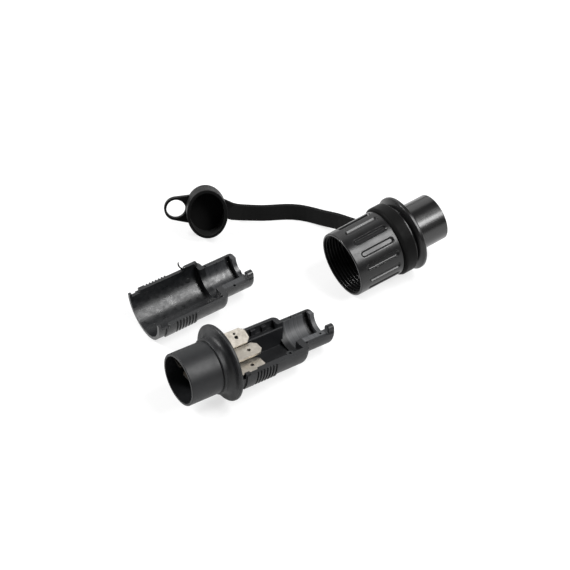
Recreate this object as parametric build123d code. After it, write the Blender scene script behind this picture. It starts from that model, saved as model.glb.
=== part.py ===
from build123d import *
import math
import os

# Sizes are in millimetres. Each piece is drawn along +X with the nose at -X, and then laid on the ground.
# The face x = 0 is the rear face of the flange, where the cover stops. The sleeve has its mouth at x = 0.

# Rear housing, shared by the body, the cover and the bore of the sleeve
shell_radius = 16.8
shell_wall = 1.9
shell_length = 44.5
step_height = 4.3
step_wall = 3.0
step_round = 3.0
crease_round = 0.5
saddle_bore_radius = 10.2
saddle_length = 19.0
saddle_end_round = 2.0
saddle_land_edge = 7.0
saddle_land_depth = 5.0
end_wall = 2.6
end_groove_width = 3.0
end_groove_depth = 0.9
cable_radius = 7.4

# Nose and flange of the body
nose_length = 26.0
nose_radius = 14.2
nose_wall = 1.3
nose_round = 0.4
web_thickness = 7.0
root_bead_height = 1.1
root_bead_width = 1.5
root_bead_round = 0.5
flange_radius = 20.9
flange_rim = 2.1
flange_round = 0.7
dish_width = 3.8
dish_step = 0.6
dish_round = 3.2

# Thread moulded on both sides of the housing
thread_height = 0.75
thread_pitch = 1.9
thread_count = 7
thread_start = 11.5
thread_block = 6.9
thread_patch_depth = 11.0
thread_clearance = 0.1

# Contacts: a blade in the nose and a tab behind the flange
blade_width = 6.8
blade_thickness = 2.4
blade_reach = 15.0
blade_chamfer = 0.8
tab_width = 9.5
tab_thickness = 1.2
tab_chamfer = 2.4
tab_hole = 2.2
tab_hole_setback = 6.4
contact_fit = 0.05
contact_shoulder = 2.5
side_hole = 1.5

# Name, place across and above the axis, turn about the axis, and length of the tab
contacts = [
    ("contact_left", 8.0, 4.2, 22.0, 20.5),
    ("contact_centre", -1.0, 0.8, 0.0, 22.5),
    ("contact_right", -8.6, -2.5, 0.0, 19.5),
]

# Terminal pocket in the body
pocket_start = 13.0
pocket_floor = 11.0
partition_offset = 6.4
partition_wall = 1.0
channel_depth = 4.2
ledge_offset = 13.6
boss_radius = 2.1
boss_setback = 8.0
tooth_count = 3
tooth_first = 20.0
tooth_spacing = 7.0
tooth_length = 2.8
tooth_depth = 1.4
tooth_drop = 0.4

# Pegs on the far rim of each half and the holes that they meet, at these distances behind the step
peg_hole = 1.5
peg_hole_depth = 4.0
peg_clearance = 0.1
peg_offset = 10.9
body_hole_setback = 1.2
cover_hole_setback = 6.5
spare_hole_setback = 11.5
spare_hole_offset = 8.8

# Lug and recess on the near rim of the body, just behind the flange
rim_lug_start = 4.2
rim_lug_length = 2.8
rim_lug_height = 1.1
rim_recess_start = 2.0
rim_recess_length = 2.0
rim_recess_depth = 1.6

# Lip on the end wall, and the lug and notched front edge of the cover
hook_width = 4.1
hook_inset = 0.8
hook_height = 4.0
hook_length = 3.4
hook_setback = 0.5
hook_round = 1.9
hook_clearance = 0.15
lug_length = 8.4
lug_height = 1.7
horn_length = 1.5
notch_length = 5.0
notch_depth = 1.7
front_groove_depth = 0.8
lip_width = 7.0

# Round pads left by the ejector pins in the cover: distance from the front, angle from the bottom
pad_radius = 1.3
pad_height = 0.15
pads = [(10.5, 74.5), (14.0, 11.5), (35.5, 62.0)]

# Coupling sleeve
mouth_gap = 4.0
sleeve_clearance = 0.35
sleeve_wall = 1.2
mouth_wall = 1.2
mouth_round = 0.5
mouth_lip = 1.6
inner_thread_count = 10
barrel_length = 28.5
barrel_flare = 0.3
disc_radius = 21.9
disc_wall = 1.5
disc_cone = 2.0
disc_rim = 2.2
disc_round = 0.7
tube_wall = 0.95
tube_clearance = 0.2
tube_reach = 3.3
tube_round = 0.3
flute_count = 15
flute_width = 2.8
flute_depth = 0.75
flute_front = 8.0
flute_rear = 2.2

# Dust cap
collar_wall = 2.1
collar_play = 0.15
collar_offset = 0.3
collar_gap = 1.5
collar_round = 1.8
collar_rear_round = 0.7
strap_width = 10.8
strap_thickness = 2.0
strap_steps = 22
strap_turn = 20.0
strap_root = 0.8
cap_half_width = 11.7
cap_half_height = 14.5
cap_depth = 12.0
cap_wall = 1.7
cap_base = 2.2
cap_base_round = 1.0
cap_rim_round = 0.5
tab_reach = 17.4
tab_turn = 8.0
ring_radius = 6.8
ring_hole = 5.5
ring_thickness = 3.0
ring_root_radius = 9.6

# How the pieces lie: place on the ground, heading and roll
body_spot = (-32.5, -76.5)
body_heading = 34.2
body_roll = -6.8
cover_spot = (-75.9, -36.7)
cover_heading = 33.9
cover_roll = -1.5
sleeve_spot = (31.4, -3.2)
sleeve_heading = 33.2
cap_spot = (-46.0, 49.5)
cap_yaw = 9.0
cap_lean = 24.0

# The strap from the collar to the cap: the middle of the band, standing on its edge
strap_path = [
    (41.8, 33.8, 12.5),
    (31.2, 42.5, 9.2),
    (22.7, 47.9, 7.0),
    (12.3, 53.2, 5.8),
    (2.9, 55.1, 5.5),
    (-11.7, 54.1, 5.5),
    (-23.4, 53.5, 6.4),
    (-30.3, 51.6, 8.8),
]

# Sizes that follow from the ones above
saddle_radius = shell_radius - step_height
housing_length = shell_length + saddle_length
cavity_end = shell_length - step_wall
saddle_end = housing_length - end_wall
bore_radius = shell_radius - shell_wall
thread_radius = shell_radius + thread_height
thread_root = thread_radius + thread_clearance
mouth_radius = thread_root + mouth_wall
sleeve_bore = shell_radius + sleeve_clearance
neck_radius = sleeve_bore + sleeve_wall
sleeve_bore_end = shell_length + sleeve_clearance - mouth_gap
disc_end = sleeve_bore_end + disc_wall
disc_front = disc_end - disc_rim
neck_end = disc_front - disc_cone
collar_start = barrel_length + collar_offset
collar_end = neck_end - collar_gap
far_box = 4 * disc_radius


def ring(start, end, outer, inner=0):
    """A round bar or tube along X."""
    bar = Pos((start + end) / 2, 0, 0) * Rot(0, 90, 0) * Cylinder(outer, end - start)
    if inner == 0:
        return bar
    return bar - Pos((start + end) / 2, 0, 0) * Rot(0, 90, 0) * Cylinder(inner, end - start)


def block(x, y, z):
    """A box from its lowest to its highest value on each axis."""
    centre = Pos((x[0] + x[1]) / 2, (y[0] + y[1]) / 2, (z[0] + z[1]) / 2)
    return centre * Box(x[1] - x[0], y[1] - y[0], z[1] - z[0])


def turned(points, rounds=()):
    """A body of revolution about X from an outline of (x, radius) points; rounds are (x, radius, size)."""
    outline = make_face(Polyline(*points, close=True))
    for x, radius, size in rounds:
        corner = outline.vertices().sort_by_distance(Vertex(x, radius, 0))[0]
        outline = fillet(corner, size)
    return revolve(outline, axis=Axis.X)


def below_split(shape, height=0.0):
    """What lies below the split plane of the housing."""
    return shape & block((-far_box, far_box), (-far_box, far_box), (-far_box, height))


def housing_half():
    """Half shell with its rounded step, cable saddle, end wall and lip, open side up."""
    outer = turned(
        [(0, 0), (0, shell_radius), (shell_length, shell_radius), (shell_length, saddle_radius),
         (housing_length, saddle_radius), (housing_length, 0)],
        [(shell_length, shell_radius, step_round), (shell_length, saddle_radius, crease_round),
         (housing_length, saddle_radius, saddle_end_round)],
    )
    inner = ring(-1, cavity_end, bore_radius)
    inner += ring(cavity_end - 1, saddle_end, saddle_bore_radius)
    inner += ring(saddle_end - end_groove_width, saddle_end, saddle_bore_radius + end_groove_depth)
    inner += ring(saddle_end - 1, housing_length + 1, cable_radius)
    # The near side of the saddle is filled to a flat land
    land = block((cavity_end, saddle_end), (-far_box, -saddle_land_edge), (-saddle_land_depth, 0))
    land = land & ring(cavity_end, saddle_end, (saddle_bore_radius + saddle_radius) / 2)
    # The lip on the near side, and on the far side the room for the lip of the other half
    half = below_split(outer - inner) + land - Rot(180, 0, 0) * hook(hook_clearance, housing_length + 1)
    return half + hook(0, housing_length - hook_setback)


def thread_patch():
    """Block and thread ridges on both sides next to the split plane."""
    root = shell_radius - shell_wall / 2
    patch = ring(thread_start - thread_block, thread_start - thread_pitch / 2, thread_radius, root)
    for turn in range(thread_count):
        start = thread_start + turn * thread_pitch
        patch += ring(start, start + thread_pitch / 2, thread_radius, root)
    zone = block((0, shell_length), (-far_box, far_box), (-thread_patch_depth, 0))
    return patch & zone


def hook(grow, end):
    """Rounded lip on the near side of the end wall, or with some growth the room that it needs."""
    front = housing_length - hook_setback - hook_length - grow
    edge = hook_inset - saddle_radius
    lip = block((front, end), (edge - grow, edge + hook_width + grow), (-hook_setback, hook_height + grow))
    top = lip.edges().filter_by(Axis.X).group_by(Axis.Z)[-1]
    return fillet(top, hook_round + grow)


def peg(setback):
    """Short peg on the far rim."""
    pin = Cylinder(peg_hole / 2 - peg_clearance, peg_hole_depth / 2)
    return Pos(shell_length + setback, peg_offset, 0) * pin


def peg_cut(setback, offset):
    """Hole in the near land."""
    return Pos(shell_length + setback, -offset, 0) * Cylinder(peg_hole / 2, 2 * peg_hole_depth)


def contact_shape(tab_length, side_hole_too):
    """One stamping: blade forward, tab backward, shoulders inside the web."""
    blade = block((-web_thickness - blade_reach, -contact_shoulder), (-blade_width / 2, blade_width / 2),
                  (-blade_thickness / 2, blade_thickness / 2))
    blade = chamfer(blade.edges().group_by(Axis.X)[0], blade_chamfer)
    tab = block((-contact_shoulder, tab_length), (-tab_width / 2, tab_width / 2),
                (-tab_thickness / 2, tab_thickness / 2))
    tab = chamfer(tab.edges().filter_by(Axis.Z).group_by(Axis.X)[-1], tab_chamfer)
    shape = blade + tab
    shape -= Pos(tab_length - tab_hole_setback, 0, 0) * Cylinder(tab_hole / 2, 4 * tab_thickness)
    if side_hole_too:
        place = Pos(tab_length - tab_hole_setback, tab_width / 4, 0)
        shape -= place * Cylinder(side_hole / 2, 4 * tab_thickness)
    return shape


def contact_slot(tab_length):
    """The opening that the web leaves for one contact."""
    grow = contact_fit
    slot = block((-web_thickness - 1, -contact_shoulder + grow),
                 (-blade_width / 2 - grow, blade_width / 2 + grow),
                 (-blade_thickness / 2 - grow, blade_thickness / 2 + grow))
    slot += block((-contact_shoulder - grow, tab_length), (-tab_width / 2 - grow, tab_width / 2 + grow),
                  (-tab_thickness / 2 - grow, tab_thickness / 2 + grow))
    return slot


def nose_and_flange():
    """Hollow nose with its root bead and the dished flange."""
    rim_front = -flange_rim
    bead_rear = rim_front - dish_width
    bead_front = bead_rear - root_bead_width
    bead_radius = nose_radius + root_bead_height
    dish_radius = nose_radius + dish_step
    shape = turned(
        [(-nose_length, 0), (-nose_length, nose_radius), (bead_front, nose_radius), (bead_front, bead_radius),
         (bead_rear, bead_radius), (bead_rear, dish_radius), (rim_front, dish_radius),
         (rim_front, flange_radius), (0, flange_radius), (0, 0)],
        [(-nose_length, nose_radius, nose_round), (bead_front, bead_radius, root_bead_round),
         (rim_front, dish_radius, dish_round), (rim_front, flange_radius, flange_round),
         (0, flange_radius, flange_round)],
    )
    return shape - ring(-nose_length - 1, -web_thickness, nose_radius - nose_wall)


def pocket_filling():
    """What fills the half shell: floor, partition with its side channel, near ledge and boss."""
    length = (pocket_start, cavity_end + 1)
    filling = block((0, cavity_end + 1), (-far_box, far_box), (-far_box, -pocket_floor))
    filling += block(length, (partition_offset, far_box), (-far_box, -channel_depth))
    filling += block(length, (partition_offset, partition_offset + partition_wall), (-far_box, 0))
    filling += block(length, (-far_box, -ledge_offset), (-far_box, 0))
    boss = Cylinder(boss_radius, pocket_floor)
    filling += Pos(cavity_end - boss_setback, -ledge_offset, -pocket_floor / 2) * boss
    # Short teeth along the far rim, each a little lower than the one before
    for turn in range(tooth_count):
        start = tooth_first + tooth_spacing * turn
        filling += block((start, start + tooth_length), (bore_radius - tooth_depth, far_box),
                         (-channel_depth - 1, -tooth_drop * (turn + 1)))
    return filling & ring(0, cavity_end + 1, bore_radius + shell_wall / 2)


def plug_body():
    """Nose, flange, web and the lower half of the rear housing."""
    body = nose_and_flange() + housing_half() + thread_patch() + pocket_filling()
    body += peg(cover_hole_setback)

    # Lug with its recess on the near rim
    near_rim = block((0, far_box), (-far_box, -bore_radius), (-rim_lug_length, far_box))
    lug_end = rim_lug_start + rim_lug_length
    body += below_split(ring(rim_lug_start, lug_end, shell_radius, bore_radius), rim_lug_height) & near_rim
    body -= block((rim_recess_start, rim_recess_start + rim_recess_length), (-far_box, -bore_radius),
                  (-rim_recess_depth, far_box))

    # Peg holes
    body -= peg_cut(body_hole_setback, peg_offset) + peg_cut(spare_hole_setback, spare_hole_offset)
    body -= Pos(cavity_end - boss_setback, -ledge_offset, 0) * Cylinder(peg_hole / 2, 2 * peg_hole_depth)

    for name, across, above, turn, length in contacts:
        body -= Pos(0, across, above) * Rot(turn, 0, 0) * contact_slot(length)
    return body


def housing_cover():
    """Upper half of the rear housing, drawn with its inside up."""
    cover = housing_half() + thread_patch() + peg(body_hole_setback)
    cover -= peg_cut(cover_hole_setback, peg_offset)
    # Front edge: a groove inside, notched rims, and a horn left at the very front
    notch_end = horn_length + notch_length
    cover -= ring(horn_length, notch_end, bore_radius + front_groove_depth)
    cover -= block((horn_length, notch_end), (-far_box, far_box), (-notch_depth, far_box))
    front = block((-1, far_box), (-far_box, lip_width - shell_radius), (-1, lug_height))
    cover += ring(0, horn_length, shell_radius, bore_radius) & front
    # Locating lug on the far rim, up to the rounded step
    lug_end = shell_length - step_round / 2
    raised = block((0, far_box), (0, far_box), (-1, lug_height))
    lug = ring(lug_end - lug_length, lug_end, shell_radius, bore_radius) & raised
    cover += fillet(lug.edges().filter_by(Axis.Y).group_by(Axis.Z)[-1], lug_height / 2)
    for distance, angle in pads:
        cover += Rot(angle, 0, 0) * Pos(distance, 0, -bore_radius) * Cylinder(pad_radius, 2 * pad_height)
    return cover


def coupling_sleeve():
    """Grooved barrel with a thread in its mouth, neck, disc flange and cable tube."""
    barrel_radius = mouth_radius + barrel_flare
    tube_bore = saddle_radius + tube_clearance
    tube_radius = tube_bore + tube_wall
    tube_end = housing_length + tube_reach - mouth_gap
    sleeve = turned(
        [(0, 0), (0, mouth_radius), (barrel_length, barrel_radius), (barrel_length, neck_radius),
         (neck_end, neck_radius), (disc_front, disc_radius), (disc_end, disc_radius),
         (disc_end, tube_radius), (tube_end, tube_radius), (tube_end, 0)],
        [(0, mouth_radius, mouth_round), (barrel_length, barrel_radius, mouth_round),
         (disc_front, disc_radius, disc_round), (disc_end, disc_radius, disc_round),
         (disc_end, tube_radius, disc_round), (tube_end, tube_radius, tube_round)],
    )
    hollow = ring(-1, mouth_lip, thread_root)
    hollow += ring(-1, sleeve_bore_end, sleeve_bore)
    hollow += ring(sleeve_bore_end - 1, tube_end + 1, tube_bore)
    for turn in range(inner_thread_count):
        start = mouth_lip + thread_pitch * (turn + 0.5)
        hollow += ring(start, start + thread_pitch / 2, thread_root)
    sleeve -= hollow
    # Flutes: long round-ended grooves in the barrel
    flute_length = barrel_length - flute_front - flute_rear
    slot = extrude(SlotOverall(flute_length, flute_width), far_box)
    floor = mouth_radius + barrel_flare / 2 - flute_depth
    flutes = []
    for turn in range(flute_count):
        angle = 360 / flute_count * (turn + 0.5)
        flutes.append(Rot(angle, 0, 0) * Pos(flute_front + flute_length / 2, 0, floor) * slot)
    return sleeve - flutes


def collar():
    """The rubber collar that sits on the neck of the sleeve."""
    inner = neck_radius + collar_play
    outer = inner + collar_wall
    return turned([(collar_start, inner), (collar_start, outer), (collar_end, outer), (collar_end, inner)],
                  [(collar_start, outer, collar_round), (collar_end, outer, collar_rear_round)])


def laid(spot, height, heading, tilt, roll):
    """Where a piece lies on the ground: tilt lifts its rear end, roll turns its open side to the front."""
    return Pos(spot[0], spot[1], height) * Rot(0, 0, heading) * Rot(0, -tilt, 0) * Rot(roll, 0, 0)


# The body rests on the rear edge of its flange and on the rounded rear end of its shell, so its nose points
# a little up. The tilt is that of the straight line that touches both roundings from below.
rise = flange_radius - flange_round - shell_radius + step_round
run = shell_length - step_round + flange_round
lean_back = math.atan2(rise, run) - math.asin((step_round - flange_round) / math.hypot(rise, run))
body_height = (flange_radius - flange_round) * math.cos(lean_back)
body_height += flange_round * (1 - math.sin(lean_back))
body_place = laid(body_spot, body_height, body_heading, -math.degrees(lean_back), body_roll)

# The cover lies level on its back
cover_place = laid(cover_spot, shell_radius, cover_heading, 0, cover_roll)

# The sleeve leans on its mouth and on its disc flange
sleeve_tilt = math.degrees(math.atan2(disc_radius - mouth_radius, disc_front))
sleeve_height = mouth_radius * math.cos(math.radians(sleeve_tilt))
sleeve_place = laid(sleeve_spot, sleeve_height, sleeve_heading, sleeve_tilt, 0)

# The cap leans back on the lower edge of its base
lean = math.radians(cap_lean)
yaw = math.radians(cap_yaw)
cap_right = Vector(math.cos(yaw), math.sin(yaw), 0)
cap_normal = Vector(math.sin(yaw) * math.cos(lean), -math.cos(yaw) * math.cos(lean), math.sin(lean))
cap_centre = Vector(cap_spot[0], cap_spot[1], cap_half_height * math.cos(lean))
cap_place = Plane(origin=cap_centre, x_dir=cap_right, z_dir=cap_normal).location


def strap():
    """Flat band lofted through upright sections along its path."""
    root_place = sleeve_place * Pos((collar_start + collar_end) / 2, 0, 0) * Rot(-strap_turn, 0, 0)
    root = (root_place * Pos(0, neck_radius + collar_play + strap_root * collar_wall, 0)).position
    joint = (cap_place * Pos(cap_half_width - cap_wall, 0, cap_base / 2)).position
    route = Spline(root, *[Vector(*point) for point in strap_path], joint)
    sections = []
    for step in range(strap_steps):
        share = step / strap_steps
        along = route.tangent_at(share)
        across = along.cross(Vector(0, 0, 1)).normalized()
        plane = Plane(origin=route.position_at(share), x_dir=across, z_dir=along)
        sections.append(plane * Rectangle(strap_thickness, strap_width))
    last = Plane(origin=joint, x_dir=cap_normal * -1, z_dir=cap_right * -1)
    sections.append(last * Rectangle(strap_thickness, strap_width))
    return loft(sections, ruled=True)


def cap():
    """Cup-shaped cap, slightly out of round, with its pull tab and finger hole."""
    cup = extrude(Ellipse(cap_half_width, cap_half_height), cap_depth)
    cup = fillet(cup.edges().group_by(Axis.Z)[0], cap_base_round)
    cup = fillet(cup.edges().group_by(Axis.Z)[-1], cap_rim_round)
    slope = math.asin((ring_root_radius - ring_radius) / tab_reach)
    lean_x, lean_y = -math.sin(slope), math.cos(slope)
    web = make_face(Polyline(
        (0, ring_root_radius),
        (ring_root_radius * lean_x, ring_root_radius * lean_y),
        (-tab_reach + ring_radius * lean_x, ring_radius * lean_y),
        (-tab_reach + ring_radius * lean_x, -ring_radius * lean_y),
        (ring_root_radius * lean_x, -ring_root_radius * lean_y),
        (0, -ring_root_radius),
        close=True,
    ))
    tab = extrude(web + Pos(-tab_reach, 0) * Circle(ring_radius), ring_thickness)
    tab -= Pos(-tab_reach, 0, 0) * Cylinder(ring_hole, 4 * ring_thickness)
    cup += Rot(0, 0, -tab_turn) * tab
    inside = Ellipse(cap_half_width - cap_wall, cap_half_height - cap_wall)
    return cup - Pos(0, 0, cap_base) * extrude(inside, cap_depth)


pieces = {
    "plug_body": body_place * plug_body(),
    "housing_cover": cover_place * housing_cover(),
    "coupling_sleeve": sleeve_place * coupling_sleeve(),
    "dust_cap": sleeve_place * collar() + strap() + cap_place * cap(),
}
for name, across, above, turn, length in contacts:
    shape = contact_shape(length, name == "contact_left")
    pieces[name] = body_place * Pos(0, across, above) * Rot(turn, 0, 0) * shape

# The origin is at the middle of the layout, on the ground
bounds = Compound(children=[Compound(piece.solids()) for piece in pieces.values()]).bounding_box()
to_origin = Pos(-bounds.center().X, -bounds.center().Y, -bounds.min.Z)
print("moved to origin by", -bounds.center().X, -bounds.center().Y, -bounds.min.Z)

os.makedirs("parts", exist_ok=True)
for name, piece in pieces.items():
    solids = (to_origin * piece).solids()
    export_step(solids[0] if len(solids) == 1 else Compound(solids), f"parts/{name}.step")
    print(name, len(solids), "solid")
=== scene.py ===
import math
import bpy
import numpy as np
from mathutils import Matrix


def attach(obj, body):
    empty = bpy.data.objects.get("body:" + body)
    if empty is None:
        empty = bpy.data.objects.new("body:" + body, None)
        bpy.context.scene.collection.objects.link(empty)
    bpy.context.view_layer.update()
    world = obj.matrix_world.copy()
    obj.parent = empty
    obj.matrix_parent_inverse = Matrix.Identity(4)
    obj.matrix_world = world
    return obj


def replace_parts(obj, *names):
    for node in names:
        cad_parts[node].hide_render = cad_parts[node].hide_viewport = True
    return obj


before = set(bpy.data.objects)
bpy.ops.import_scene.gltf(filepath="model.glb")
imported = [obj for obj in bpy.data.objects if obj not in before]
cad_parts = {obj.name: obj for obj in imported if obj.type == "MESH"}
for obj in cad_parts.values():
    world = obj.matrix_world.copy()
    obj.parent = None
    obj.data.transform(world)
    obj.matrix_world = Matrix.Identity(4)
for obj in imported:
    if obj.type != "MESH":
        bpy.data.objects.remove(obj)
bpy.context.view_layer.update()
print("frame loaded:", len(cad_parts), "nodes")

# The camera stands in front of the layout and looks 45 degrees down, through a long lens
cameraSet = {
    "aim": (-0.00295, 0.02323, 0.0),   # metres: what the middle of the picture shows, on the ground
    "distance": 0.800,                 # metres
    "lookDown": 45.1,                  # degrees below the horizon
    "lens": 89.94, "sensor": 36.0,     # mm
    "clip": (0.02, 20.0),              # metres
}


def makeCamera(s):
    data = bpy.data.cameras.new("photoCamera")
    data.lens, data.sensor_width = s["lens"], s["sensor"]
    data.clip_start, data.clip_end = s["clip"]
    camera = bpy.data.objects.new("photoCamera", data)
    down = math.radians(s["lookDown"])
    x, y, z = s["aim"]
    camera.location = (x, y - s["distance"] * math.cos(down), z + s["distance"] * math.sin(down))
    camera.rotation_euler = (math.pi / 2 - down, 0.0, 0.0)
    bpy.context.scene.collection.objects.link(camera)
    bpy.context.scene.camera = camera


makeCamera(cameraSet)
bpy.context.scene.view_settings.view_transform = "Standard"
print("camera set")

# Where the pieces drawn here lie: in mm, each along an x axis of its own that starts at the spot
bodyPlace = {"spot": (-35.470, -53.226, 20.738), "heading": 34.2, "tilt": -5.535, "roll": -6.8}
coverPlace = {"spot": (-78.870, -13.426, 16.800), "heading": 33.9, "tilt": 0.0, "roll": -1.5}
sleevePlace = {"spot": (28.430, 20.074, 18.796), "heading": 33.2, "tilt": 4.344, "roll": 0.0}


def turnAbout(axis, degrees):
    c, d = math.cos(math.radians(degrees)), math.sin(math.radians(degrees))
    i, j = [(1, 2), (2, 0), (0, 1)][axis]
    turn = np.eye(3)
    turn[i, i] = turn[j, j] = c
    turn[i, j], turn[j, i] = -d, d
    return turn


def turnOf(s):
    # roll about the axis, then tilt, then heading
    return turnAbout(2, s["heading"]) @ turnAbout(1, -s["tilt"]) @ turnAbout(0, s["roll"])


def laidOut(points, s):
    # turned, then moved to the spot, in metres
    return (points @ turnOf(s).T + np.array(s["spot"])) / 1000


# Materials. Patterns read Object coordinates in metres, so a pattern that repeats every m mm has scale 1000 / m.
# A finish goes from dark to light with a slow pattern, which also spreads its roughness.
# Glass-filled nylon: charcoal, satin, with the sparkle of a lightly etched tool. The bore that holds the cable
# is painted lighter, a painted highlight with streaks around it: it starts at boreFrom along the half, and lies
# within the bore radius of its axis.
bodyNylon = {"dark": "#101113", "light": "#18191b", "flowMm": 5.0, "grainMm": 0.35, "roughness": 0.49,
             "glossSpread": 0.05, "relief": 0.30, "specular": 0.36, "edgeMm": 0.25,
             "boreHighlight": "#5c5d5f", "half": bodyPlace, "boreFrom": 44.9, "bore": 10.5}
# The same nylon inside the cover: cloudy and streaked, where the melt met the tool. Its saddle bore carries a
# fainter painted highlight.
coverNylon = {"dark": "#0c0d0e", "light": "#191a1c", "flowMm": 2.5, "grainMm": 0.5, "roughness": 0.35,
              "glossSpread": 0.10, "relief": 0.35, "specular": 0.46, "edgeMm": 0.12,
              "boreHighlight": "#3c3d3f", "half": coverPlace, "boreFrom": 44.9, "bore": 10.5}
# Unfilled nylon of the screwed sleeve: blacker, and smoother from a polished tool
sleeveNylon = {"dark": "#0a0a0a", "light": "#111112", "flowMm": 8.0, "grainMm": 0.4, "roughness": 0.30,
               "glossSpread": 0.04, "relief": 0.10, "specular": 0.36, "edgeMm": 0.25}
# The tube at its rear end is glossier than the rest
tubeNylon = {"dark": "#040404", "light": "#0b0b0c", "flowMm": 8.0, "grainMm": 0.4, "roughness": 0.25,
             "glossSpread": 0.02, "relief": 0.05, "specular": 0.60, "edgeMm": 0.25}
# EPDM rubber: matt, with a soft bloom
capRubber = {"dark": "#0e0e0e", "light": "#141414", "flowMm": 4.0, "grainMm": 0.3, "roughness": 0.42,
             "glossSpread": 0.08, "relief": 0.2, "specular": 0.02, "edgeMm": 0.3, "sheen": 0.06}
# Tin over stamped brass: satin, warm light grey. The blades in the nose, in front of the flange's face, are
# painted dark: painted shade of the inside of the nose.
contactTin = {"dark": "#8c867a", "light": "#dcd6cd", "blade": "#1d1a16", "cloudMm": 2.2, "grainMm": 0.25,
              "roughness": 0.52, "glossSpread": 0.08, "relief": 0.12, "edgeMm": 0.12,
              "half": bodyPlace, "flangeFace": -0.0610}

nylonIndex = 1.53                       # refractive index
patternLow, patternHigh = 0.3, 0.7      # most of a noise pattern lies between these
reliefHeight = 0.0001                   # metres of bump at strength 1
saddleFade, boreFade, bladeFade = 0.0005, 0.0002, 0.001   # metres over which one finish goes into the next
streakMm = 0.8


def fromHex(text, alpha=1.0):
    # sRGB hex to the linear colour that the shaders take
    parts = np.array([int(text[i:i + 2], 16) for i in (1, 3, 5)]) / 255.0
    linear = np.where(parts <= 0.04045, parts / 12.92, ((parts + 0.055) / 1.055) ** 2.4)
    return (*[float(v) for v in linear], alpha)


def perMm(size):
    return 1000.0 / size


def addNode(tree, kind, settings, links=None):
    # one node: settings are its sockets or properties, links say which output feeds which socket
    node = tree.nodes.new(kind)
    for name, value in settings.items():
        if isinstance(name, int) or name in node.inputs:
            node.inputs[name].default_value = value
        else:
            setattr(node, name, value)
    for name, source in (links or {}).items():
        tree.links.new(source, node.inputs[name])
    return node


def newMaterial(name):
    material = bpy.data.materials.new(name)
    material.use_nodes = True
    tree = material.node_tree
    tree.nodes.clear()
    place = addNode(tree, "ShaderNodeTexCoord", {}).outputs["Object"]
    return material, tree, place


def noise(tree, place, sizeMm, detail, roughness):
    return addNode(tree, "ShaderNodeTexNoise", {"Scale": perMm(sizeMm), "Detail": detail, "Roughness": roughness},
                   {"Vector": place}).outputs["Fac"]


def alongAxis(tree, place, axis):
    # how far a point lies along an axis through the origin
    return addNode(tree, "ShaderNodeVectorMath", {"operation": "DOT_PRODUCT", 1: axis},
                   {0: place}).outputs["Value"]


def patternColour(tree, pattern, s):
    return addNode(tree, "ShaderNodeMix", {"data_type": "RGBA", 6: fromHex(s["dark"]), 7: fromHex(s["light"])},
                   {0: pattern}).outputs[2]


def patternGloss(tree, pattern, s):
    return addNode(tree, "ShaderNodeMapRange", {"From Min": patternLow, "From Max": patternHigh,
                                                "To Min": s["roughness"] - s["glossSpread"],
                                                "To Max": s["roughness"] + s["glossSpread"]},
                   {"Value": pattern}).outputs["Result"]


def softRelief(tree, grain, s):
    # softened edges, and the grain of the tool over them
    edge = addNode(tree, "ShaderNodeBevel", {"Radius": s["edgeMm"] / 1000})
    return addNode(tree, "ShaderNodeBump", {"Strength": s["relief"], "Distance": reliefHeight},
                   {"Height": grain, "Normal": edge.outputs["Normal"]}).outputs["Normal"]


def saddleHighlightMask(tree, place, s):
    # where the painted highlight goes: 1 in the bore of the cable saddle, times streaks that go around it
    axis, spot = turnOf(s["half"])[:, 0], np.array(s["half"]["spot"]) / 1000
    start = s["boreFrom"] / 1000 + float(axis @ spot)
    along = alongAxis(tree, place, axis.tolist())
    behind = addNode(tree, "ShaderNodeMapRange", {"From Min": start, "From Max": start + saddleFade},
                     {"Value": along})
    offset = addNode(tree, "ShaderNodeVectorMath", {"operation": "SUBTRACT", 1: spot.tolist()}, {0: place})
    across = addNode(tree, "ShaderNodeVectorMath", {"operation": "CROSS_PRODUCT", 1: axis.tolist()},
                     {0: offset.outputs["Vector"]})
    away = addNode(tree, "ShaderNodeVectorMath", {"operation": "LENGTH"}, {0: across.outputs["Vector"]})
    near = addNode(tree, "ShaderNodeMapRange", {"From Min": s["bore"] / 1000,
                                                "From Max": s["bore"] / 1000 - boreFade},
                   {"Value": away.outputs["Value"]})
    streak = addNode(tree, "ShaderNodeTexNoise", {"noise_dimensions": "1D", "Scale": perMm(streakMm),
                                                  "Detail": 3.0, "Roughness": 0.6}, {"W": along})
    both = addNode(tree, "ShaderNodeMath", {"operation": "MULTIPLY"},
                   {0: behind.outputs["Result"], 1: near.outputs["Result"]})
    return addNode(tree, "ShaderNodeMath", {"operation": "MULTIPLY"},
                   {0: both.outputs[0], 1: streak.outputs["Fac"]}).outputs[0]


def mouldedPlastic(name, s):
    # Injection-moulded polymer: a fine tool grain, and slow flow marks that change the colour and the gloss
    material, tree, place = newMaterial(name)
    flow = noise(tree, place, s["flowMm"], 3.0, 0.55)
    grain = noise(tree, place, s["grainMm"], 4.0, 0.7)
    colour = patternColour(tree, flow, s)
    # the saddle bore is painted lighter: a painted highlight, streaked, mixed into the colour
    if "boreHighlight" in s:
        colour = addNode(tree, "ShaderNodeMix", {"data_type": "RGBA", 7: fromHex(s["boreHighlight"])},
                         {0: saddleHighlightMask(tree, place, s), 6: colour}).outputs[2]
    shader = addNode(tree, "ShaderNodeBsdfPrincipled", {"IOR": nylonIndex, "Specular IOR Level": s["specular"],
                                                        "Sheen Weight": s.get("sheen", 0.0)},
                     {"Base Color": colour, "Roughness": patternGloss(tree, flow, s),
                      "Normal": softRelief(tree, grain, s)})
    addNode(tree, "ShaderNodeOutputMaterial", {}, {"Surface": shader.outputs["BSDF"]})
    return material


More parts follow.
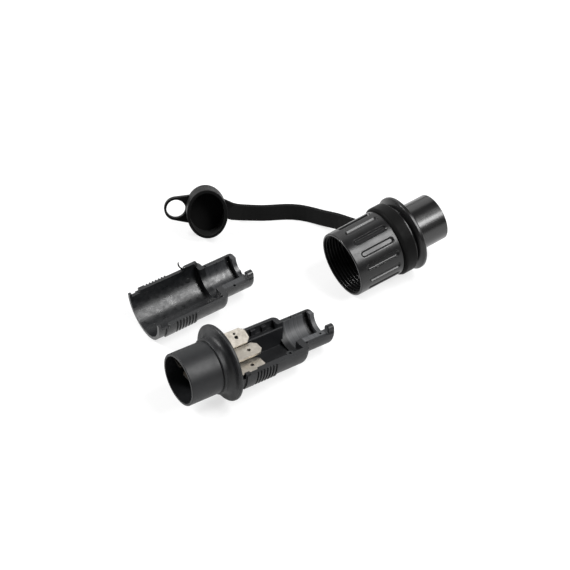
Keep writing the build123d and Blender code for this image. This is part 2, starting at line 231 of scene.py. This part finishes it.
def tinnedBrass(name, s):
    # Electroplated tin: cloudy, with the fine grain of the rolled strip under it
    material, tree, place = newMaterial(name)
    cloud = noise(tree, place, s["cloudMm"], 4.0, 0.6)
    grain = noise(tree, place, s["grainMm"], 3.0, 0.6)
    along = alongAxis(tree, place, turnOf(s["half"])[:, 0].tolist())
    # painted shade: the blades in front of the flange's face take the dark colour, as the inside of the nose is in
    # shade
    behind = addNode(tree, "ShaderNodeMapRange", {"From Min": s["flangeFace"] - bladeFade,
                                                  "From Max": s["flangeFace"]}, {"Value": along})
    colour = addNode(tree, "ShaderNodeMix", {"data_type": "RGBA", 6: fromHex(s["blade"])},
                     {0: behind.outputs["Result"], 7: patternColour(tree, cloud, s)})
    shader = addNode(tree, "ShaderNodeBsdfPrincipled", {"Metallic": 1.0},
                     {"Base Color": colour.outputs[2], "Roughness": patternGloss(tree, cloud, s),
                      "Normal": softRelief(tree, grain, s)})
    addNode(tree, "ShaderNodeOutputMaterial", {}, {"Surface": shader.outputs["BSDF"]})
    return material


finishes = {
    "plug_body": mouldedPlastic("satinNylon", bodyNylon),
    "housing_cover": mouldedPlastic("streakedNylon", coverNylon),
    "coupling_sleeve": mouldedPlastic("polishedNylon", sleeveNylon),
    "dust_cap": mouldedPlastic("mattRubber", capRubber),
    "contact_centre": tinnedBrass("tinnedBrass", contactTin),
}
finishes["contact_left"] = finishes["contact_right"] = finishes["contact_centre"]
for node, material in finishes.items():
    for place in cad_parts[node].material_slots:
        place.material = material
print("finishes on", len(finishes), "nodes")


def addPiece(name, mesh):
    piece = bpy.data.objects.new(name, mesh)
    bpy.context.scene.collection.objects.link(piece)
    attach(piece, "root")
    return piece


def addGrid(name, rows, s, node):
    # rows of points, each row a closed loop; the first and last rows are closed with one face each
    count, size = rows.shape[:2]
    index = np.arange(count * size).reshape(count, size)
    after = np.roll(index, -1, axis=1)
    quads = np.stack([index[:-1], index[1:], after[1:], after[:-1]], axis=-1).reshape(-1, 4)
    mesh = bpy.data.meshes.new(name)
    faces = quads.tolist() + [index[0].tolist(), index[-1][::-1].tolist()]
    mesh.from_pydata(laidOut(rows.reshape(-1, 3), s).tolist(), [], faces)
    mesh.materials.append(finishes[node])
    mesh.validate()
    addPiece(name, mesh)


# The sleeve, with softly edged flutes: its outline goes from the mouth to the rear and back through the bore
sleeveSet = {
    "mouth": 18.83, "barrel": 19.13, "barrelEnd": 28.5, "barrelRows": 90, "barrelInset": 0.6,
    "front": [(0.0, 17.65, 0.2), (0.0, 18.83, 0.5), (28.5, 19.13, 0.5)],   # x, radius, rounding
    "rear": [
        (28.5, 18.30, 0.10), (38.15, 18.30, 0.30), (40.17, 21.88, 0.70), (42.33, 21.88, 0.70),
        (42.33, 13.63, 0.70), (62.78, 13.63, 0.35), (62.78, 12.72, 0.25), (40.87, 12.72, 0.20),
        (40.87, 17.17, 0.20)],
    "roundSteps": 5, "tubeFrom": 42.6, "tubeBelow": 14.2,
    "bore": 17.17, "threadRoot": 17.65, "pitch": 1.9, "threads": 10, "lip": 1.6,
    "flutes": 15, "turn": 16.0, "width": 3.0, "soft": 0.9, "depth": 0.95, "from": 5.6, "to": 26.0,
    "columns": 420, "sharp": 35,
}


def roundedLine(corners, steps):
    # a line through (x, radius, rounding) corners, with an arc of points in place of each corner
    corner = np.array(corners)
    line = []
    for before, here, after in zip(np.roll(corner, 1, axis=0), corner, np.roll(corner, -1, axis=0)):
        ahead, back = after[:2] - here[:2], before[:2] - here[:2]
        ahead, back = ahead / np.linalg.norm(ahead), back / np.linalg.norm(back)
        half = math.acos(np.clip(ahead @ back, -1.0, 1.0)) / 2
        reach, middle = here[2] / math.tan(half), (ahead + back) / np.linalg.norm(ahead + back)
        centre = here[:2] + middle * here[2] / math.sin(half)
        spokes = [here[:2] + back * reach - centre, here[:2] + ahead * reach - centre]
        for share in np.linspace(0, 1, steps):
            spoke = (1 - share) * spokes[0] + share * spokes[1]
            line.append(centre + spoke / np.linalg.norm(spoke) * here[2])
    return np.array(line)


def fluteDepth(x, angle, s):
    # a round-ended slot: full depth inside it, and an S-shaped slope of the soft width around its edge
    pitch = 2 * math.pi / s["flutes"]
    across = s["barrel"] * ((angle - math.radians(s["turn"]) + pitch / 2) % pitch - pitch / 2)
    middle, half = (s["from"] + s["to"]) / 2, (s["to"] - s["from"] - s["width"]) / 2
    distance = np.hypot(np.maximum(np.abs(x - middle) - half, 0.0), across)
    share = np.clip((s["width"] / 2 + s["soft"] / 2 - distance) / s["soft"], 0.0, 1.0)
    return s["depth"] * share ** 2 * (3 - 2 * share)


def flutedSleeve(s, place, materials):
    x = np.linspace(s["barrelInset"], s["barrelEnd"] - s["barrelInset"], s["barrelRows"])
    barrel = np.stack([x, s["mouth"] + (s["barrel"] - s["mouth"]) * x / s["barrelEnd"]], axis=1)
    starts = s["lip"] + s["pitch"] * (np.arange(s["threads"])[::-1] + 0.5)
    thread = np.stack([starts[:, None] + s["pitch"] * np.array([0.5, 0.5, 0.0, 0.0]),
                       np.broadcast_to([s["bore"], s["threadRoot"], s["threadRoot"], s["bore"]],
                                       (len(starts), 4))], axis=-1).reshape(-1, 2)
    lip = np.array([[s["lip"], s["bore"]], [s["lip"], s["threadRoot"]]])
    # the barrel's rows go in after the two corners of the mouth
    ends, mouthCount = roundedLine(s["front"] + s["rear"], s["roundSteps"]), 2 * s["roundSteps"]
    line = np.concatenate([ends[:mouthCount], barrel, ends[mouthCount:], thread, lip])
    angle = np.linspace(0, 2 * math.pi, s["columns"], endpoint=False)
    cut = np.zeros((len(line), len(angle)))
    cut[mouthCount:mouthCount + len(barrel)] = fluteDepth(barrel[:, :1], angle[None, :], s)
    radius = line[:, 1:] - cut
    points = np.stack([np.broadcast_to(line[:, :1], radius.shape), -radius * np.sin(angle),
                       radius * np.cos(angle)], axis=-1)
    index = np.arange(radius.size).reshape(radius.shape)
    nextRow, nextColumn = np.roll(index, -1, axis=0), np.roll(index, -1, axis=1)
    faces = np.stack([index, nextColumn, np.roll(nextRow, -1, axis=1), nextRow], axis=-1).reshape(-1, 4)
    mesh = bpy.data.meshes.new("flutedSleeve")
    mesh.from_pydata(laidOut(points.reshape(-1, 3), place).tolist(), [], faces.tolist())
    for material in materials:
        mesh.materials.append(material)
    # the second finish is on everything behind the disc
    onTube = (line[:, 0] > s["tubeFrom"]) & (line[:, 1] < s["tubeBelow"])
    mesh.polygons.foreach_set("material_index", np.repeat(onTube, len(angle)).astype(np.int32))
    mesh.shade_smooth()
    mesh.set_sharp_from_angle(angle=math.radians(s["sharp"]))
    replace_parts(addPiece("flutedSleeve", mesh), "coupling_sleeve")


flutedSleeve(sleeveSet, sleevePlace, [finishes["coupling_sleeve"], mouldedPlastic("glossyNylon", tubeNylon)])
print("fluted sleeve added")

# The far end of each half: the corner of the end wall, rounded like the rest of the saddle
cornerSet = {"front": 59.3, "wallFront": 60.9, "end": 63.5, "radius": 12.45, "endRound": 2.0, "groove": 11.15,
             "notch": 7.45, "depth": 4.4, "steps": 14, "lap": 0.02, "jump": 0.01}


def farCorner(name, s, place, node):
    # the outer radius at x is the saddle's, less what the rounding of its end takes off
    x = np.r_[s["front"], s["wallFront"], s["wallFront"] + s["jump"],
              np.linspace(s["end"] - s["endRound"], s["end"] - s["lap"], s["steps"])]
    past = np.clip(x - s["end"] + s["endRound"], 0.0, s["endRound"])
    radius = s["radius"] - s["endRound"] + np.sqrt(s["endRound"] ** 2 - past ** 2)
    inner = np.where(x <= s["wallFront"], s["groove"], s["notch"])
    z = np.linspace(-s["lap"], -s["depth"], s["steps"])
    outerY = np.sqrt(radius[:, None] ** 2 - z[None, :] ** 2)
    inside = np.broadcast_to(inner[:, None], (len(x), 2))
    y = np.concatenate([outerY, inside], axis=1)
    depth = np.broadcast_to(np.r_[z, -s["depth"], -s["lap"]], y.shape)
    rows = np.stack([np.broadcast_to(x[:, None], y.shape), y, depth], axis=-1)
    addGrid(name, rows, place, node)


# The groove inside the mouth of the cover is filled, because the photo shows the mouth smooth.
# The filling stops short of the split by the margin, in degrees on each side.
mouthSet = {"from": 1.48, "to": 6.52, "bore": 14.9, "groove": 15.73, "margin": 6.7, "steps": 176}


def mouthFilling(name, s, place, node):
    # half a ring below the split: rows go around the axis, and each row is a four-cornered section
    angle = np.radians(np.linspace(180 + s["margin"], 360 - s["margin"], s["steps"]))[:, None]
    x = np.array([s["from"], s["from"], s["to"], s["to"]])
    radius = np.array([s["bore"], s["groove"], s["groove"], s["bore"]])
    rows = np.stack([np.broadcast_to(x, (s["steps"], 4)), radius * np.cos(angle), radius * np.sin(angle)], axis=-1)
    addGrid(name, rows, place, node)


# Flash left by the mould: each thread or sliver is a bent, tapering rod, given by its line and its radii
flashSet = [  # name, half it belongs to, its place, points (x, y, z) along it, radii
    ("flashThread", "housing_cover", coverPlace,
     [(34.5, 15.8, -0.6), (34.0, 16.0, 0.4), (33.2, 16.1, 1.6), (32.4, 16.2, 2.8), (32.0, 16.3, 4.2),
      (31.9, 16.4, 5.4), (32.2, 16.5, 6.4)], [0.80, 0.62, 0.45, 0.42, 0.46, 0.42, 0.15]),
    ("flashSliver", "housing_cover", coverPlace,
     [(63.0, 1.5, -7.9), (62.95, 1.6, -7.0), (62.85, 1.8, -5.9), (62.7, 2.0, -4.4)], [0.6, 0.45, 0.32, 0.1]),
    ("flashSliverLow", "housing_cover", coverPlace,
     [(63.0, -1.1, -7.8), (63.0, -1.0, -6.9), (62.9, -0.8, -5.5)], [0.5, 0.38, 0.1]),
    ("flashBurr", "plug_body", bodyPlace,
     [(22.0, 15.8, -0.4), (22.0, 15.9, 0.5), (21.8, 16.0, 1.3)], [0.5, 0.35, 0.08]),
    ("flashBurrRear", "plug_body", bodyPlace,
     [(23.6, 15.8, -0.4), (23.7, 15.9, 0.3), (23.9, 16.0, 0.9)], [0.5, 0.35, 0.08]),
]
rodSides, rodFineness = 10, 4           # corners of a ring, and rings for each given point


def bentRod(name, points, radii, place, node):
    # rings around a smooth line through the points; each ring stands across the line
    line, size = np.array(points), np.array(radii)
    at, fine = np.arange(len(line)), np.linspace(0, len(line) - 1, rodFineness * len(line))
    line = np.stack([np.interp(fine, at, line[:, k]) for k in range(3)], axis=1)
    line[1:-1] = (line[:-2] + 2 * line[1:-1] + line[2:]) / 4
    size = np.interp(fine, at, size)
    along = np.gradient(line, axis=0)
    along /= np.linalg.norm(along, axis=1)[:, None]
    side = np.cross(along, [1.0, 0.0, 0.0])
    side /= np.linalg.norm(side, axis=1)[:, None]
    other = np.cross(along, side)
    angle = np.linspace(0, 2 * math.pi, rodSides, endpoint=False)
    circle = np.cos(angle)[None, :, None] * side[:, None] - np.sin(angle)[None, :, None] * other[:, None]
    addGrid(name, line[:, None] + size[:, None, None] * circle, place, node)


farCorner("bodyFarCorner", cornerSet, bodyPlace, "plug_body")
farCorner("coverFarCorner", cornerSet, coverPlace, "housing_cover")
mouthFilling("coverMouthFilling", mouthSet, coverPlace, "housing_cover")
for name, node, place, points, radii in flashSet:
    bentRod(name, points, radii, place, node)
print("corners, filling and flash added:", 3 + len(flashSet))

# Stage: a pale floor that shows white but keeps the shadow, and soft studio light
stageSet = {
    "floorColour": "#a0a0a0", "floorLift": 0.68, "floorSize": 4.0,
    "worldLight": 0.20,
    "lamps": [  # name, place, aim, size in metres, watts
        ("keySoftbox", (0.42, -0.06, 0.86), (0.0, 0.0, 0.0), 0.30, 4.2),
        ("rearSoftbox", (-0.10, 0.80, 0.50), (0.0, 0.0, 0.0), 0.80, 1.7),
        ("rightSoftbox", (0.75, -0.26, 0.75), (0.0, 0.0, 0.0), 0.42, 8.0),
        ("leftSoftbox", (-0.78, 0.18, 0.66), (0.0, 0.0, 0.0), 0.24, 9.0),
    ],
}
plainWhite = (1.0, 1.0, 1.0, 1.0)


def stageShader(name, colour, lift):
    # what a lit surface shows, plus a plain lift that only the camera and reflections see
    material, tree, place = newMaterial(name)
    path = addNode(tree, "ShaderNodeLightPath", {})
    seen = addNode(tree, "ShaderNodeMath", {"operation": "MAXIMUM"},
                   {0: path.outputs["Is Camera Ray"], 1: path.outputs["Is Glossy Ray"]})
    seen = addNode(tree, "ShaderNodeMath", {"operation": "MAXIMUM"},
                   {0: seen.outputs[0], 1: path.outputs["Is Transmission Ray"]})
    strength = addNode(tree, "ShaderNodeMath", {"operation": "MULTIPLY", 1: lift}, {0: seen.outputs[0]})
    glow = addNode(tree, "ShaderNodeEmission", {"Color": plainWhite}, {"Strength": strength.outputs[0]})
    matt = addNode(tree, "ShaderNodeBsdfDiffuse", {"Color": colour})
    both = addNode(tree, "ShaderNodeAddShader", {}, {0: glow.outputs[0], 1: matt.outputs[0]})
    addNode(tree, "ShaderNodeOutputMaterial", {}, {"Surface": both.outputs[0]})
    return material


def makeStage(s):
    half = s["floorSize"] / 2
    mesh = bpy.data.meshes.new("floor")
    mesh.from_pydata([(-half, -half, 0), (half, -half, 0), (half, half, 0), (-half, half, 0)], [], [(0, 1, 2, 3)])
    mesh.materials.append(stageShader("paleFloor", fromHex(s["floorColour"]), s["floorLift"]))
    floor = bpy.data.objects.new("floor", mesh)
    bpy.context.scene.collection.objects.link(floor)
    for name, place, aim, size, watts in s["lamps"]:
        data = bpy.data.lights.new(name, "AREA")
        data.shape, data.size, data.energy = "DISK", size, watts
        lamp = bpy.data.objects.new(name, data)
        lamp.location = place
        away = [p - a for p, a in zip(place, aim)]
        lamp.rotation_euler = (math.atan2(math.hypot(away[0], away[1]), away[2]), 0.0,
                               math.atan2(away[0], -away[1]))
        bpy.context.scene.collection.objects.link(lamp)
    world = bpy.data.worlds.new("studio")
    bpy.context.scene.world = world
    world.use_nodes = True
    tree = world.node_tree
    tree.nodes.clear()
    path = addNode(tree, "ShaderNodeLightPath", {})
    strength = addNode(tree, "ShaderNodeMapRange", {"To Min": s["worldLight"], "To Max": 1.0},
                       {"Value": path.outputs["Is Camera Ray"]})
    sky = addNode(tree, "ShaderNodeBackground", {"Color": plainWhite}, {"Strength": strength.outputs[0]})
    addNode(tree, "ShaderNodeOutputWorld", {}, {"Surface": sky.outputs[0]})


makeStage(stageSet)
print("stage and lights set")
